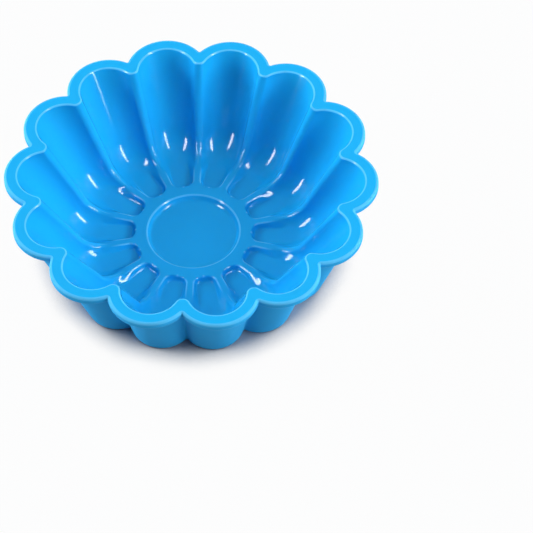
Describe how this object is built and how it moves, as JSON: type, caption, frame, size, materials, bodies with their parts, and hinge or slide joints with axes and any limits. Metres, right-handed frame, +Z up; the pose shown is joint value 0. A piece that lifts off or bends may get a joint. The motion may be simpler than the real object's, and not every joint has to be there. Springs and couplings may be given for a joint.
{
  "type": "silicone flower cake mould",
  "caption": "Round flower-shaped baking mould in soft silicone: scalloped flat rim, fluted petal walls running into floor pads between ribs, and a level hub ring round a shallow disc.",
  "frame": {"origin": "centre of the underside, on the surface that the mould stands on", "axes": "+Z up out of the mouth, X through two opposite petal tips, Y through two opposite rim notches"},
  "size_m": [0.24, 0.2352, 0.063],
  "materials": {
    "silicone": "glossy moulded silicone, bright blue"
  },
  "bodies": {
    "root": {"rim_flange": "silicone", "petal_01": "silicone", "petal_02": "silicone", "petal_03": "silicone", "petal_04": "silicone", "petal_05": "silicone", "petal_06": "silicone", "petal_07": "silicone", "petal_08": "silicone", "petal_09": "silicone", "petal_10": "silicone", "petal_11": "silicone", "petal_12": "silicone", "petal_13": "silicone", "petal_14": "silicone", "hub_ring": "silicone", "centre_disc": "silicone"}
  },
  "joints": []
}
